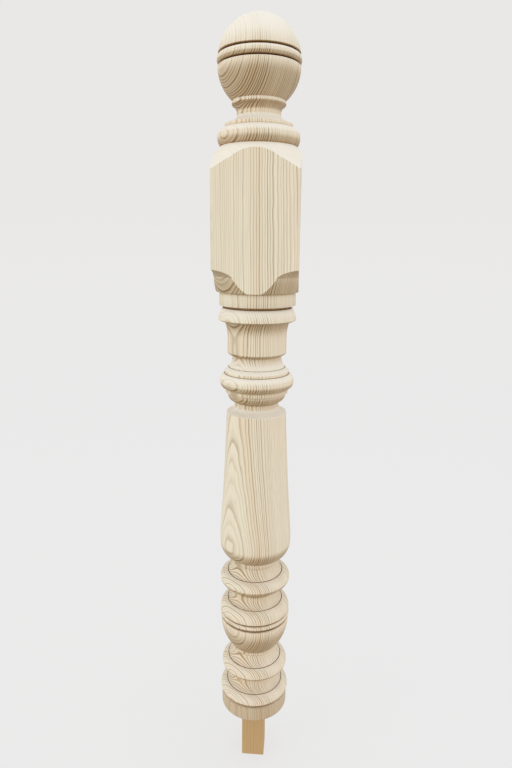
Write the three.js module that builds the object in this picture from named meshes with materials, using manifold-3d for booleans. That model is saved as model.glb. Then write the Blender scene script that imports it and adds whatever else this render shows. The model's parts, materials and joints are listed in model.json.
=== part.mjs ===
// Turned pine newel post, 120 mm square blank, with a square floor peg.
// Millimetres, +Z up. The origin is the centre of the post's underside, at floor level:
// the post stands above it and the peg hangs below. The block's faces look along X and Y.

import * as THREE from 'three';
import { mergeVertices } from 'three/addons/utils/BufferGeometryUtils.js';
import Module from 'manifold-3d';

const wasm = await Module();
wasm.setup();

// Blank: the square stick of pine that the post is turned from
const BLANK_WIDTH = 120;
const BLANK_ARRIS = 3.5;

// Floor peg, a square stick let into the underside of the post
const PEG_WIDTH = 38;
const PEG_ARRIS = 1;
const PEG_DROP = 106;
const MORTISE_DEPTH = 60;
const PEG_CLEARANCE = 0.3;

// Base drum that stands on the floor
const DRUM_DIAMETER = 110.4;
const DRUM_HEIGHT = 23.2;
const DRUM_ARRIS = 1;

// V grooves cut with the point of the skew chisel; the one on the drum is the broadest
const GROOVE_WIDTH = 3.4;
const GROOVE_DEPTH = 3;
const DRUM_GROOVE_WIDTH = 4.6;

// Base bead, above the drum
const BASE_BEAD_DIAMETER = 113.8;
const BASE_BEAD_FOOT_DIAMETER = 108.6;
const BASE_BEAD_BELLY_HEIGHT = 4.4;
const BASE_BEAD_CROWN_HEIGHT = 12;
const BASE_BEAD_LIP_DIAMETER = 93.4;

// Every lip is a small upright step where a hollow lands on a bead, with a fine V called a
// quirk at its foot
const LIP_HEIGHT = 0.8;
const LIP_BATTER = 0.2;
const QUIRK_WIDTH = 0.8;
const QUIRK_DEPTH = 1.2;

// Lowest neck
const BASE_HOLLOW_HEIGHT = 11;
const BASE_NECK_DIAMETER = 74;
const BASE_NECK_HEIGHT = 5;

// Lower ring, with the cove that carries it
const LOWER_RING_COVE_HEIGHT = 13;
const LOWER_RING_DIAMETER = 108.6;
const LOWER_RING_FOOT_DIAMETER = 96;
const LOWER_RING_BELLY_HEIGHT = 6.4;
const LOWER_RING_CROWN_HEIGHT = 12.4;
const LOWER_RING_LIP_DIAMETER = 88.4;
const LOWER_HOLLOW_HEIGHT = 17.6;
const LOWER_NECK_DIAMETER = 70;

// Barrel: a fillet, a bowl, a narrow rounded band between two grooves, and a shoulder
const BOWL_FILLET_DIAMETER = 73;
const BOWL_FILLET_HEIGHT = 6;
const BOWL_FOOT_DIAMETER = 76;
const BOWL_HEIGHT = 51.2;
const BOWL_DIAMETER = 112.2;
const BARREL_DIAMETER = 113.4;
const BARREL_BAND_DIAMETER = 114;
const BARREL_BAND_HEIGHT = 7.4;
const BAND_PROUD = 1.8;
const BARREL_SHOULDER_LAND = 1.4;
const BARREL_SHOULDER_HEIGHT = 17.2;
const BARREL_LIP_DIAMETER = 90.2;
const BARREL_HOLLOW_HEIGHT = 12;
const BARREL_NECK_DIAMETER = 74;
const BARREL_NECK_HEIGHT = 4;

// Upper ring, with its cove
const UPPER_RING_COVE_HEIGHT = 12.2;
const UPPER_RING_DIAMETER = 113.2;
const UPPER_RING_FOOT_DIAMETER = 93;
const UPPER_RING_BELLY_HEIGHT = 11;
const UPPER_RING_CROWN_HEIGHT = 11.6;
const UPPER_RING_LIP_DIAMETER = 89.2;
const UPPER_HOLLOW_HEIGHT = 19.4;
const UPPER_NECK_DIAMETER = 73;

// Shaft: a fillet, a rounded foot and a long hollow taper up to a crisp head
const SHAFT_FILLET_DIAMETER = 80;
const SHAFT_FILLET_HEIGHT = 8.2;
const SHAFT_FOOT_DIAMETER = 83;
const SHAFT_FOOT_HEIGHT = 27.4;
const SHAFT_DIAMETER = 114;
const SHAFT_SWELL_HEIGHT = 30;
const SHAFT_SWELL_LOSS = 1.3;
const SHAFT_TAPER_HEIGHT = 185;
const SHAFT_HEAD_DIAMETER = 91;
const SHAFT_SAG = 0.95;
const SHAFT_SLOPE_HEIGHT = 10.4;

// Vase: neck, small ovolo, fillet, ring, sloping step and hollow
const VASE_NECK_DIAMETER = 67;
const VASE_NECK_HEIGHT = 4.4;
const VASE_COVE_DIAMETER = 70;
const VASE_COVE_HEIGHT = 3.4;
const OVOLO_FOOT_DIAMETER = 75.2;
const OVOLO_DIAMETER = 88.6;
const OVOLO_HEIGHT = 12.6;
const VASE_FILLET_DIAMETER = 94.4;
const VASE_FILLET_HEIGHT = 7.3;
const VASE_RING_DIAMETER = 112;
const VASE_RING_FOOT_DIAMETER = 99.4;
const VASE_RING_BELLY_HEIGHT = 10.6;
const VASE_RING_CROWN_HEIGHT = 11.6;
const VASE_LIP_DIAMETER = 98.2;
const VASE_STEP_FOOT_DIAMETER = 97;
const VASE_STEP_HEIGHT = 5.6;
const VASE_STEP_DIAMETER = 86;
const VASE_STEP_SLOPE = 5.4;
const VASE_HOLLOW_HEIGHT = 17.5;
const VASE_THROAT_DIAMETER = 73;

// Cup: a drum that flares under a bell-shaped flange
const CUP_FOOT_DIAMETER = 79;
const CUP_ROUNDING_HEIGHT = 4.6;
const CUP_DIAMETER = 88.2;
const CUP_HEIGHT = 22.6;
const CUP_FLARE_HEIGHT = 22.8;
const CUP_FLARE_DIAMETER = 97;
const FLANGE_DIAMETER = 115.4;
const FLANGE_UNDERSIDE_DIAMETER = 109;
const FLANGE_UNDERSIDE_RISE = 1;
const FLANGE_BEVEL_HEIGHT = 2;
const FLANGE_EDGE_HEIGHT = 0.8;
const FLANGE_HEIGHT = 16.4;
const FLANGE_TOP_DIAMETER = 103.6;
const FLANGE_CROWN = 1;

// Collar below the block, with an undercut groove beneath it
const COLLAR_GROOVE_DIAMETER = 97;
const COLLAR_GROOVE_HEIGHT = 3.8;
const COLLAR_DIAMETER = 112.4;
const COLLAR_HEIGHT = 19.6;

// Block: its turned shoulders run from the flat faces out past the corners
const LOWER_SHOULDER_FOOT_DIAMETER = 121.4;
const LOWER_SHOULDER_WAIST_DIAMETER = 134;
const LOWER_SHOULDER_WAIST_HEIGHT = 20;
const LOWER_SHOULDER_FLARE_HEIGHT = 14;
const BLOCK_CORNER_HEIGHT = 122.3;
const UPPER_SHOULDER_FLARE_HEIGHT = 20.4;
const UPPER_SHOULDER_WAIST_DIAMETER = 137;
const UPPER_SHOULDER_WAIST_HEIGHT = 20;
const UPPER_SHOULDER_CROWN = 0.9;

// Ring and fillet above the block
const TOP_RING_FOOT_DIAMETER = 106.4;
const TOP_RING_DIAMETER = 114.6;
const TOP_RING_BELLY_HEIGHT = 12.6;
const TOP_RING_CROWN_HEIGHT = 11.3;
const TOP_FILLET_DIAMETER = 94;
const TOP_FILLET_HEIGHT = 5;

// Neck under the ball and the small astragal on top of it
const TOP_HOLLOW_HEIGHT = 12.2;
const TOP_NECK_DIAMETER = 60.6;
const TOP_NECK_HEIGHT = 2;
const ASTRAGAL_COVE_HEIGHT = 9;
const ASTRAGAL_FOOT_DIAMETER = 71;
const ASTRAGAL_DIAMETER = 74.4;
const ASTRAGAL_BELLY_HEIGHT = 2.6;
const ASTRAGAL_CROWN_HEIGHT = 3.6;
const ASTRAGAL_TOP_DIAMETER = 72.4;

// Ball finial: a bowl, a narrow band between two grooves, and a dome
const BALL_FOOT_DIAMETER = 73;
const BALL_BOWL_HEIGHT = 41.2;
const BALL_DIAMETER = 112.4;
const BALL_BAND_DIAMETER = 114.4;
const BALL_BAND_HEIGHT = 9.8;
const DOME_CENTRE_BELOW_GROOVE = 8;

// How far round its ellipse each kind of curve runs, in degrees from its upright end
const BEAD_SWEEP = 80;
const SHAFT_FOOT_SWEEP = 78;
const SHAFT_SWELL_SWEEP = 28;
const BELLY_SWEEP = 55;
const BOWL_SWEEP = 45;
const BAND_SWEEP = 72;
const COVE_SWEEP = 72;

// How finely the round stretches are cut into facets: by degrees, by length and by count
const FACETS_AROUND = 32;
const FACET_SWEEP = 28;
const FACET_LENGTH = 20;
const BOW_FACETS = 4;
const DOME_FACETS = 8;

// How far a cutting solid runs past the surface that it cuts
const OVERCUT = 10;
const MERGE_DISTANCE = 1e-4;

// A turning profile, drawn upwards from the underside: each call adds one stretch of outline.
// Diameters are given across the post and heights are measured from the stretch before.
class TurningProfile {
  constructor() {
    this.points = [new THREE.Vector2(0, 0)];
    this.diameter = 0;
    this.height = 0;
  }

  add(diameter, height) {
    this.points.push(new THREE.Vector2(diameter / 2, height));
    this.diameter = diameter;
    this.height = height;
  }

  // A straight stretch: upright, sloping, or a flat step where it rises by nothing.
  line(diameter, rise = 0) {
    this.add(diameter, this.height + rise);
  }

  // Part of an ellipse that leaves the last point upright and curves away from there.
  leaveUpright(diameter, rise, sweep) {
    const from = { diameter: this.diameter, height: this.height };
    this.ellipse(from, diameter - from.diameter, rise, sweep, (share) => share * sweep);
  }

  // The same the other way about: it arrives upright at the new diameter.
  arriveUpright(diameter, rise, sweep) {
    const from = { diameter, height: this.height + rise };
    this.ellipse(from, this.diameter - diameter, -rise, sweep, (share) => (1 - share) * sweep);
  }

  ellipse(upright, across, along, sweep, angleAt) {
    const reach = THREE.MathUtils.degToRad(sweep);
    const chord = Math.hypot(across / 2, along);
    const steps = Math.max(2, Math.ceil(sweep / FACET_SWEEP), Math.ceil(chord / FACET_LENGTH));
    for (let step = 1; step <= steps; step += 1) {
      const angle = THREE.MathUtils.degToRad(angleAt(step / steps));
      const outward = (1 - Math.cos(angle)) / (1 - Math.cos(reach));
      const upward = Math.sin(angle) / Math.sin(reach);
      this.add(upright.diameter + across * outward, upright.height + along * upward);
    }
  }

  // A shallow parabola that stands off its chord by the given swell in the middle.
  bow(diameter, rise, swell) {
    const from = { diameter: this.diameter, height: this.height };
    for (let step = 1; step <= BOW_FACETS; step += 1) {
      const share = step / BOW_FACETS;
      const offChord = 4 * swell * share * (1 - share);
      const onChord = from.diameter + (diameter - from.diameter) * share;
      this.add(onChord + 2 * offChord, from.height + rise * share);
    }
  }

  // A V-shaped groove cut into the surface, after which the outline goes on at a new diameter.
  groove(diameterAbove, width = GROOVE_WIDTH) {
    this.line(Math.min(this.diameter, diameterAbove) - 2 * GROOVE_DEPTH, width / 2);
    this.line(diameterAbove, width / 2);
  }

  // A narrow rounded band that stands a little proud of the grooves above and below it.
  band(diameter, height) {
    this.arriveUpright(diameter, height / 2, BAND_SWEEP);
    this.leaveUpright(diameter - 2 * BAND_PROUD, height / 2, BAND_SWEEP);
  }

  // A bead: its belly swells out to the full diameter and its crown curves in to the lip.
  bead(diameter, bellyHeight, crownHeight, lipDiameter, bellySweep = BEAD_SWEEP) {
    this.arriveUpright(diameter, bellyHeight, bellySweep);
    this.leaveUpright(lipDiameter, crownHeight, BEAD_SWEEP);
  }

  // The outer side of a quirk, the fine V that parts a bead from what stands on it.
  quirk() {
    this.line(this.diameter - 2 * QUIRK_WIDTH, -QUIRK_DEPTH);
  }

  // A quirk, a lip and the hollow that rises from the lip to a neck.
  hollow(neckDiameter, height, sweep = BEAD_SWEEP) {
    this.quirk();
    this.line(this.diameter - 2 * LIP_BATTER, QUIRK_DEPTH + LIP_HEIGHT);
    this.arriveUpright(neckDiameter, height, sweep);
  }

  // The small hollow that flares from a neck to the foot of the moulding above it.
  cove(diameter, rise) {
    this.leaveUpright(diameter, rise, COVE_SWEEP);
  }
}

// A closed geometry as a solid that can be cut: its shared corners are merged first.
function solidOf(geometry) {
  geometry.deleteAttribute('normal');
  geometry.deleteAttribute('uv');
  const merged = mergeVertices(geometry, MERGE_DISTANCE);
  const mesh = new wasm.Mesh({
    numProp: 3,
    vertProperties: new Float32Array(merged.attributes.position.array),
    triVerts: new Uint32Array(merged.index.array),
  });
  return new wasm.Manifold(mesh);
}

// The cut solid as a geometry again.
function geometryOf(solid) {
  const mesh = solid.getMesh();
  const geometry = new THREE.BufferGeometry();
  geometry.setAttribute('position', new THREE.BufferAttribute(mesh.vertProperties, 3));
  geometry.setIndex(new THREE.BufferAttribute(mesh.triVerts, 1));
  geometry.computeVertexNormals();
  return geometry;
}

// An upright square stick with its four long arrises planed off.
function squareStick(width, arris, bottom, top) {
  const half = width / 2;
  const flat = half - arris;
  const outline = new THREE.Shape();
  outline.moveTo(half, -flat);
  outline.lineTo(half, flat);
  outline.lineTo(flat, half);
  outline.lineTo(-flat, half);
  outline.lineTo(-half, flat);
  outline.lineTo(-half, -flat);
  outline.lineTo(-flat, -half);
  outline.lineTo(flat, -half);
  outline.closePath();
  const stick = new THREE.ExtrudeGeometry(outline, { depth: top - bottom, bevelEnabled: false });
  stick.translate(0, 0, bottom);
  return stick;
}

function baseAndRings(profile) {
  profile.line(DRUM_DIAMETER - 2 * DRUM_ARRIS);
  profile.line(DRUM_DIAMETER, DRUM_ARRIS);
  profile.line(DRUM_DIAMETER, DRUM_HEIGHT - DRUM_ARRIS);
  profile.groove(BASE_BEAD_FOOT_DIAMETER, DRUM_GROOVE_WIDTH);
  profile.bead(BASE_BEAD_DIAMETER, BASE_BEAD_BELLY_HEIGHT, BASE_BEAD_CROWN_HEIGHT,
    BASE_BEAD_LIP_DIAMETER, BELLY_SWEEP);
  profile.hollow(BASE_NECK_DIAMETER, BASE_HOLLOW_HEIGHT);
  profile.line(BASE_NECK_DIAMETER, BASE_NECK_HEIGHT);
  profile.cove(LOWER_RING_FOOT_DIAMETER, LOWER_RING_COVE_HEIGHT);
  profile.bead(LOWER_RING_DIAMETER, LOWER_RING_BELLY_HEIGHT, LOWER_RING_CROWN_HEIGHT,
    LOWER_RING_LIP_DIAMETER);
  profile.hollow(LOWER_NECK_DIAMETER, LOWER_HOLLOW_HEIGHT);
}

function barrel(profile) {
  profile.line(BOWL_FILLET_DIAMETER);
  profile.line(BOWL_FILLET_DIAMETER, BOWL_FILLET_HEIGHT);
  profile.line(BOWL_FOOT_DIAMETER);
  profile.arriveUpright(BOWL_DIAMETER, BOWL_HEIGHT, BOWL_SWEEP);
  profile.groove(BARREL_BAND_DIAMETER - 2 * BAND_PROUD);
  profile.band(BARREL_BAND_DIAMETER, BARREL_BAND_HEIGHT);
  profile.groove(BARREL_DIAMETER);
  profile.line(BARREL_DIAMETER, BARREL_SHOULDER_LAND);
  profile.leaveUpright(BARREL_LIP_DIAMETER, BARREL_SHOULDER_HEIGHT, BEAD_SWEEP);
  profile.hollow(BARREL_NECK_DIAMETER, BARREL_HOLLOW_HEIGHT);
  profile.line(BARREL_NECK_DIAMETER, BARREL_NECK_HEIGHT);
  profile.cove(UPPER_RING_FOOT_DIAMETER, UPPER_RING_COVE_HEIGHT);
  profile.bead(UPPER_RING_DIAMETER, UPPER_RING_BELLY_HEIGHT, UPPER_RING_CROWN_HEIGHT,
    UPPER_RING_LIP_DIAMETER);
  profile.hollow(UPPER_NECK_DIAMETER, UPPER_HOLLOW_HEIGHT);
}

function shaft(profile) {
  profile.line(SHAFT_FILLET_DIAMETER);
  profile.line(SHAFT_FILLET_DIAMETER, SHAFT_FILLET_HEIGHT);
  profile.line(SHAFT_FOOT_DIAMETER);
  profile.arriveUpright(SHAFT_DIAMETER, SHAFT_FOOT_HEIGHT, SHAFT_FOOT_SWEEP);
  profile.leaveUpright(SHAFT_DIAMETER - 2 * SHAFT_SWELL_LOSS, SHAFT_SWELL_HEIGHT, SHAFT_SWELL_SWEEP);
  profile.bow(SHAFT_HEAD_DIAMETER, SHAFT_TAPER_HEIGHT, -SHAFT_SAG);
  profile.arriveUpright(VASE_NECK_DIAMETER, SHAFT_SLOPE_HEIGHT, BELLY_SWEEP);
}

function vase(profile) {
  profile.line(VASE_NECK_DIAMETER, VASE_NECK_HEIGHT);
  profile.cove(VASE_COVE_DIAMETER, VASE_COVE_HEIGHT);
  profile.line(OVOLO_FOOT_DIAMETER);
  profile.arriveUpright(OVOLO_DIAMETER, OVOLO_HEIGHT, BEAD_SWEEP);
  profile.line(VASE_FILLET_DIAMETER);
  profile.line(VASE_FILLET_DIAMETER, VASE_FILLET_HEIGHT);
  profile.line(VASE_RING_FOOT_DIAMETER);
  profile.bead(VASE_RING_DIAMETER, VASE_RING_BELLY_HEIGHT, VASE_RING_CROWN_HEIGHT,
    VASE_LIP_DIAMETER);
  profile.quirk();
  profile.line(VASE_STEP_FOOT_DIAMETER, VASE_STEP_HEIGHT);
  profile.line(VASE_STEP_DIAMETER, VASE_STEP_SLOPE);
  profile.hollow(VASE_THROAT_DIAMETER, VASE_HOLLOW_HEIGHT, BELLY_SWEEP);
}

function cupAndCollar(profile) {
  profile.line(CUP_FOOT_DIAMETER);
  profile.arriveUpright(CUP_DIAMETER, CUP_ROUNDING_HEIGHT, BEAD_SWEEP);
  profile.line(CUP_DIAMETER, CUP_HEIGHT);
  profile.leaveUpright(CUP_FLARE_DIAMETER, CUP_FLARE_HEIGHT, BELLY_SWEEP);
  profile.line(FLANGE_UNDERSIDE_DIAMETER, FLANGE_UNDERSIDE_RISE);
  profile.line(FLANGE_DIAMETER, FLANGE_BEVEL_HEIGHT);
  profile.line(FLANGE_DIAMETER, FLANGE_EDGE_HEIGHT);
  profile.bow(FLANGE_TOP_DIAMETER, FLANGE_HEIGHT, FLANGE_CROWN);
  profile.line(COLLAR_GROOVE_DIAMETER);
  profile.line(COLLAR_GROOVE_DIAMETER, COLLAR_GROOVE_HEIGHT);
  profile.line(COLLAR_DIAMETER);
  profile.line(COLLAR_DIAMETER, COLLAR_HEIGHT);
}

// The shoulders are turned wider than the blank is across its corners, so the blank's own
// faces and arrises cut them off in the arches that show on the four sides.
function block(profile) {
  const cornerDiameter = Math.hypot(BLANK_WIDTH, BLANK_WIDTH) + OVERCUT;
  profile.line(LOWER_SHOULDER_FOOT_DIAMETER);
  profile.line(LOWER_SHOULDER_WAIST_DIAMETER, LOWER_SHOULDER_WAIST_HEIGHT);
  profile.leaveUpright(cornerDiameter, LOWER_SHOULDER_FLARE_HEIGHT, BEAD_SWEEP);
  profile.line(cornerDiameter, BLOCK_CORNER_HEIGHT);
  profile.line(UPPER_SHOULDER_WAIST_DIAMETER, UPPER_SHOULDER_FLARE_HEIGHT);
  profile.bow(TOP_RING_FOOT_DIAMETER, UPPER_SHOULDER_WAIST_HEIGHT, UPPER_SHOULDER_CROWN);
}

function topRingAndNeck(profile) {
  profile.bead(TOP_RING_DIAMETER, TOP_RING_BELLY_HEIGHT, TOP_RING_CROWN_HEIGHT,
    TOP_FILLET_DIAMETER, BELLY_SWEEP);
  profile.line(TOP_FILLET_DIAMETER, TOP_FILLET_HEIGHT);
  profile.arriveUpright(TOP_NECK_DIAMETER, TOP_HOLLOW_HEIGHT, BELLY_SWEEP);
  profile.line(TOP_NECK_DIAMETER, TOP_NECK_HEIGHT);
  profile.cove(ASTRAGAL_FOOT_DIAMETER, ASTRAGAL_COVE_HEIGHT);
  profile.arriveUpright(ASTRAGAL_DIAMETER, ASTRAGAL_BELLY_HEIGHT, BELLY_SWEEP);
  profile.leaveUpright(ASTRAGAL_TOP_DIAMETER, ASTRAGAL_CROWN_HEIGHT, BELLY_SWEEP);
}

function ball(profile) {
  profile.line(BALL_FOOT_DIAMETER, LIP_HEIGHT);
  profile.arriveUpright(BALL_DIAMETER, BALL_BOWL_HEIGHT, BOWL_SWEEP);
  profile.groove(BALL_BAND_DIAMETER - 2 * BAND_PROUD);
  profile.band(BALL_BAND_DIAMETER, BALL_BAND_HEIGHT);
  const domeRadius = BALL_DIAMETER / 2;
  const startAngle = Math.asin(DOME_CENTRE_BELOW_GROOVE / domeRadius);
  profile.groove(2 * domeRadius * Math.cos(startAngle));
  const centreHeight = profile.height - DOME_CENTRE_BELOW_GROOVE;
  for (let step = 1; step <= DOME_FACETS; step += 1) {
    const angle = startAngle + (Math.PI / 2 - startAngle) * (step / DOME_FACETS);
    const diameter = step === DOME_FACETS ? 0 : 2 * domeRadius * Math.cos(angle);
    profile.add(diameter, centreHeight + domeRadius * Math.sin(angle));
  }
}

// The post is one solid: turned all round, cut to the blank's square, and mortised below.
function turnedPost() {
  const profile = new TurningProfile();
  baseAndRings(profile);
  barrel(profile);
  shaft(profile);
  vase(profile);
  cupAndCollar(profile);
  block(profile);
  topRingAndNeck(profile);
  ball(profile);

  const turned = new THREE.LatheGeometry(profile.points, FACETS_AROUND);
  turned.rotateX(Math.PI / 2);
  const blank = squareStick(BLANK_WIDTH, BLANK_ARRIS, -OVERCUT, profile.height + OVERCUT);
  const mortiseWidth = PEG_WIDTH + 2 * PEG_CLEARANCE;
  const mortise = squareStick(mortiseWidth, PEG_ARRIS, -OVERCUT, MORTISE_DEPTH);
  const solid = solidOf(turned).intersect(solidOf(blank)).subtract(solidOf(mortise));
  return geometryOf(solid);
}

function floorPeg() {
  return squareStick(PEG_WIDTH, PEG_ARRIS, -PEG_DROP, MORTISE_DEPTH - PEG_CLEARANCE);
}

const sandedPine = new THREE.MeshStandardMaterial({ color: 0xe3d5b8, roughness: 0.6, metalness: 0 });
const sawnPine = new THREE.MeshStandardMaterial({ color: 0xb7996c, roughness: 0.75, metalness: 0 });

const post = new THREE.Mesh(turnedPost(), sandedPine);
post.name = 'turned_post';

const peg = new THREE.Mesh(floorPeg(), sawnPine);
peg.name = 'floor_peg';

const newel = new THREE.Group();
newel.name = 'newel_post';
newel.add(post, peg);

export default newel;
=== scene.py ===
# %% [markdown]
# # A turned pine newel post
#
# A newel post stands at the foot of a stair and carries the end of the handrail. This one is
# turned from one square stick of pine. The lathe cuts the ball, the rings and the long shaft,
# and leaves one stretch square, so that the rail has a flat face to meet. A browner square peg
# hangs below it and is let into the floor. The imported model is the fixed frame: it says where
# the two pieces are and how large they may be, and everything here is modelled around it.

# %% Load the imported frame
import json
import math
import bpy
from mathutils import Matrix, Vector

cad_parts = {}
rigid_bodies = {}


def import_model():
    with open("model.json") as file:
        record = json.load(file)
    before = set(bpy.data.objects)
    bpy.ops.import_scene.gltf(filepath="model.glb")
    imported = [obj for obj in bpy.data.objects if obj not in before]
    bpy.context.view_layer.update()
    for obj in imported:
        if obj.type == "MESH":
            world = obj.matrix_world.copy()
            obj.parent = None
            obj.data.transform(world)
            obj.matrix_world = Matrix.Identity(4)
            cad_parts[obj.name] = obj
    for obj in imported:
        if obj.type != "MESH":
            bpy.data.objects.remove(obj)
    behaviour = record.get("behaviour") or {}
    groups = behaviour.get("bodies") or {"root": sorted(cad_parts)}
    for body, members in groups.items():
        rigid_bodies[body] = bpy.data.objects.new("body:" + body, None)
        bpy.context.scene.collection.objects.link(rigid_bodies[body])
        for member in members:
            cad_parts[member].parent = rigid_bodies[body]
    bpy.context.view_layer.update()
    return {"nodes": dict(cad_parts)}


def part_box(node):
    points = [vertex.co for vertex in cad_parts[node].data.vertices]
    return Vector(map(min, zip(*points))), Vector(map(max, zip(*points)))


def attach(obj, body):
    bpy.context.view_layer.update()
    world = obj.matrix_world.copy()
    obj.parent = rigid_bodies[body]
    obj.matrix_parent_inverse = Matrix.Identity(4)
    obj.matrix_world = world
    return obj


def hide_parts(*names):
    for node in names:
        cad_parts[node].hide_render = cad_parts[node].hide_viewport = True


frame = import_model()
print("frame nodes:", sorted(frame["nodes"]))

# %% [markdown]
# ## Units and driving sizes
#
# A turner works in millimetres and Blender works in metres, so every size of the wood is
# written in millimetres and multiplied by MM where Blender takes it. The blank and the peg are
# read from the frame, because they decide where the post may be.

# %% Millimetres, and the sizes that the frame gives
MM = 0.001
post_low, post_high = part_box("turned_post")
peg_low, peg_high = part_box("floor_peg")
BLANK_WIDTH = (post_high[0] - post_low[0]) / MM
POST_HEIGHT = post_high[2] / MM
PEG_WIDTH = (peg_high[0] - peg_low[0]) / MM
PEG_BOTTOM = peg_low[2] / MM
PEG_TOP = peg_high[2] / MM
print(f"blank {BLANK_WIDTH:.1f} mm square, post {POST_HEIGHT:.1f} mm high")
print(f"peg {PEG_WIDTH:.1f} mm square, from {PEG_BOTTOM:.1f} to {PEG_TOP:.1f} mm")

# %% [markdown]
# ## The turning profile
#
# Anything from a lathe is one half outline carried round its axis. The outline could be drawn
# as one long list of points, but a turner doesn't think in points. They think in beads,
# hollows, grooves and fillets, each with a height and a diameter. So a small class draws those:
# every call adds one stretch of outline, from the underside upwards. Round stretches are parts
# of ellipses, because a bead is rarely a true circle, and long shallow ones are parabolas.

# %% A class that draws the turner's shapes
FINE_SWEEP = 6.0
FINE_LENGTH = 5.0
GROOVE_WIDTH = 3.4
GROOVE_DEPTH = 3.0
BAND_PROUD = 1.8
LIP_HEIGHT = 0.8
LIP_BATTER = 0.2
QUIRK_WIDTH = 0.8
QUIRK_DEPTH = 1.2
BEAD_SWEEP = 80.0
BELLY_SWEEP = 55.0
BOWL_SWEEP = 45.0
BAND_SWEEP = 72.0
COVE_SWEEP = 72.0


class TurningProfile:
    """The post's half outline. Diameters are across the post, rises are from the last point."""

    def __init__(self):
        self.points = [(0.0, 0.0)]
        self.diameter = 0.0
        self.height = 0.0

    def add(self, diameter, height):
        self.points.append((diameter / 2, height))
        self.diameter = diameter
        self.height = height

    def line(self, diameter, rise=0.0):
        self.add(diameter, self.height + rise)

    def ellipse(self, upright, across, along, sweep, angle_at):
        reach = math.radians(sweep)
        chord = math.hypot(across / 2, along)
        steps = max(3, math.ceil(sweep / FINE_SWEEP), math.ceil(chord / FINE_LENGTH))
        for step in range(1, steps + 1):
            angle = math.radians(angle_at(step / steps))
            outward = (1 - math.cos(angle)) / (1 - math.cos(reach))
            upward = math.sin(angle) / math.sin(reach)
            self.add(upright[0] + across * outward, upright[1] + along * upward)

    def leave_upright(self, diameter, rise, sweep):
        """Part of an ellipse that starts upright and curves away from there."""
        start = (self.diameter, self.height)
        self.ellipse(start, diameter - start[0], rise, sweep, lambda share: share * sweep)

    def arrive_upright(self, diameter, rise, sweep):
        """The same the other way about: it ends upright, at the new diameter."""
        end = (diameter, self.height + rise)
        self.ellipse(end, self.diameter - diameter, -rise, sweep, lambda share: (1 - share) * sweep)

    def bow(self, diameter, rise, swell):
        """A shallow parabola that stands off its chord by the swell in the middle."""
        start_diameter = self.diameter
        start_height = self.height
        steps = max(4, math.ceil(rise / FINE_LENGTH))
        for step in range(1, steps + 1):
            share = step / steps
            on_chord = start_diameter + (diameter - start_diameter) * share
            off_chord = 4 * swell * share * (1 - share)
            self.add(on_chord + 2 * off_chord, start_height + rise * share)

    def groove(self, diameter_above, width=GROOVE_WIDTH):
        """A V cut with the point of the skew chisel."""
        self.line(min(self.diameter, diameter_above) - 2 * GROOVE_DEPTH, width / 2)
        self.line(diameter_above, width / 2)

    def band(self, diameter, height):
        """A narrow rounded band that stands a little proud of the grooves beside it."""
        self.arrive_upright(diameter, height / 2, BAND_SWEEP)
        self.leave_upright(diameter - 2 * BAND_PROUD, height / 2, BAND_SWEEP)

    def bead(self, diameter, belly_height, crown_height, lip_diameter, belly_sweep=BEAD_SWEEP):
        """A belly that swells to the full diameter and a crown that curves in to the lip."""
        self.arrive_upright(diameter, belly_height, belly_sweep)
        self.leave_upright(lip_diameter, crown_height, BEAD_SWEEP)

    def quirk(self):
        """The outer side of the fine V that parts a bead from what stands on it."""
        self.line(self.diameter - 2 * QUIRK_WIDTH, -QUIRK_DEPTH)

    def hollow(self, neck_diameter, height, sweep=BEAD_SWEEP):
        """A quirk, a small upright lip, and the hollow that rises from it to a neck."""
        self.quirk()
        self.line(self.diameter - 2 * LIP_BATTER, QUIRK_DEPTH + LIP_HEIGHT)
        self.arrive_upright(neck_diameter, height, sweep)

    def cove(self, diameter, rise):
        """The small hollow that flares from a neck to the foot of the bead above it."""
        self.leave_upright(diameter, rise, COVE_SWEEP)


profile = TurningProfile()
print("the profile starts on the axis, at the post's underside")

# %% [markdown]
# ## Base drum, base bead and lower ring
#
# The foot is a plain drum, because it has to stand flat on the floor. A broad V groove parts it
# from the base bead. The turner then sinks a hollow to a slim neck and swells out again to the
# lower ring. Each hollow lands on its bead with a tiny upright lip, and the point of the skew
# chisel cuts a fine V, a quirk, at the foot of that lip. It draws the thin dark line that makes
# turned work look crisp.

# %% Base drum and bead
DRUM_DIAMETER = 110.4
DRUM_HEIGHT = 23.2
DRUM_ARRIS = 1.0
DRUM_GROOVE_WIDTH = 4.6
BASE_BEAD_FOOT_DIAMETER = 108.6
BASE_BEAD_DIAMETER = 113.8
BASE_BEAD_BELLY_HEIGHT = 4.4
BASE_BEAD_CROWN_HEIGHT = 12.0
BASE_BEAD_LIP_DIAMETER = 93.4
BASE_HOLLOW_HEIGHT = 11.0
BASE_NECK_DIAMETER = 74.0
BASE_NECK_HEIGHT = 5.0

profile.line(DRUM_DIAMETER - 2 * DRUM_ARRIS)
profile.line(DRUM_DIAMETER, DRUM_ARRIS)
profile.line(DRUM_DIAMETER, DRUM_HEIGHT - DRUM_ARRIS)
profile.groove(BASE_BEAD_FOOT_DIAMETER, DRUM_GROOVE_WIDTH)
profile.bead(BASE_BEAD_DIAMETER, BASE_BEAD_BELLY_HEIGHT, BASE_BEAD_CROWN_HEIGHT,
             BASE_BEAD_LIP_DIAMETER, BELLY_SWEEP)
profile.hollow(BASE_NECK_DIAMETER, BASE_HOLLOW_HEIGHT)
print(f"base turned up to {profile.height:.1f} mm")

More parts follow.
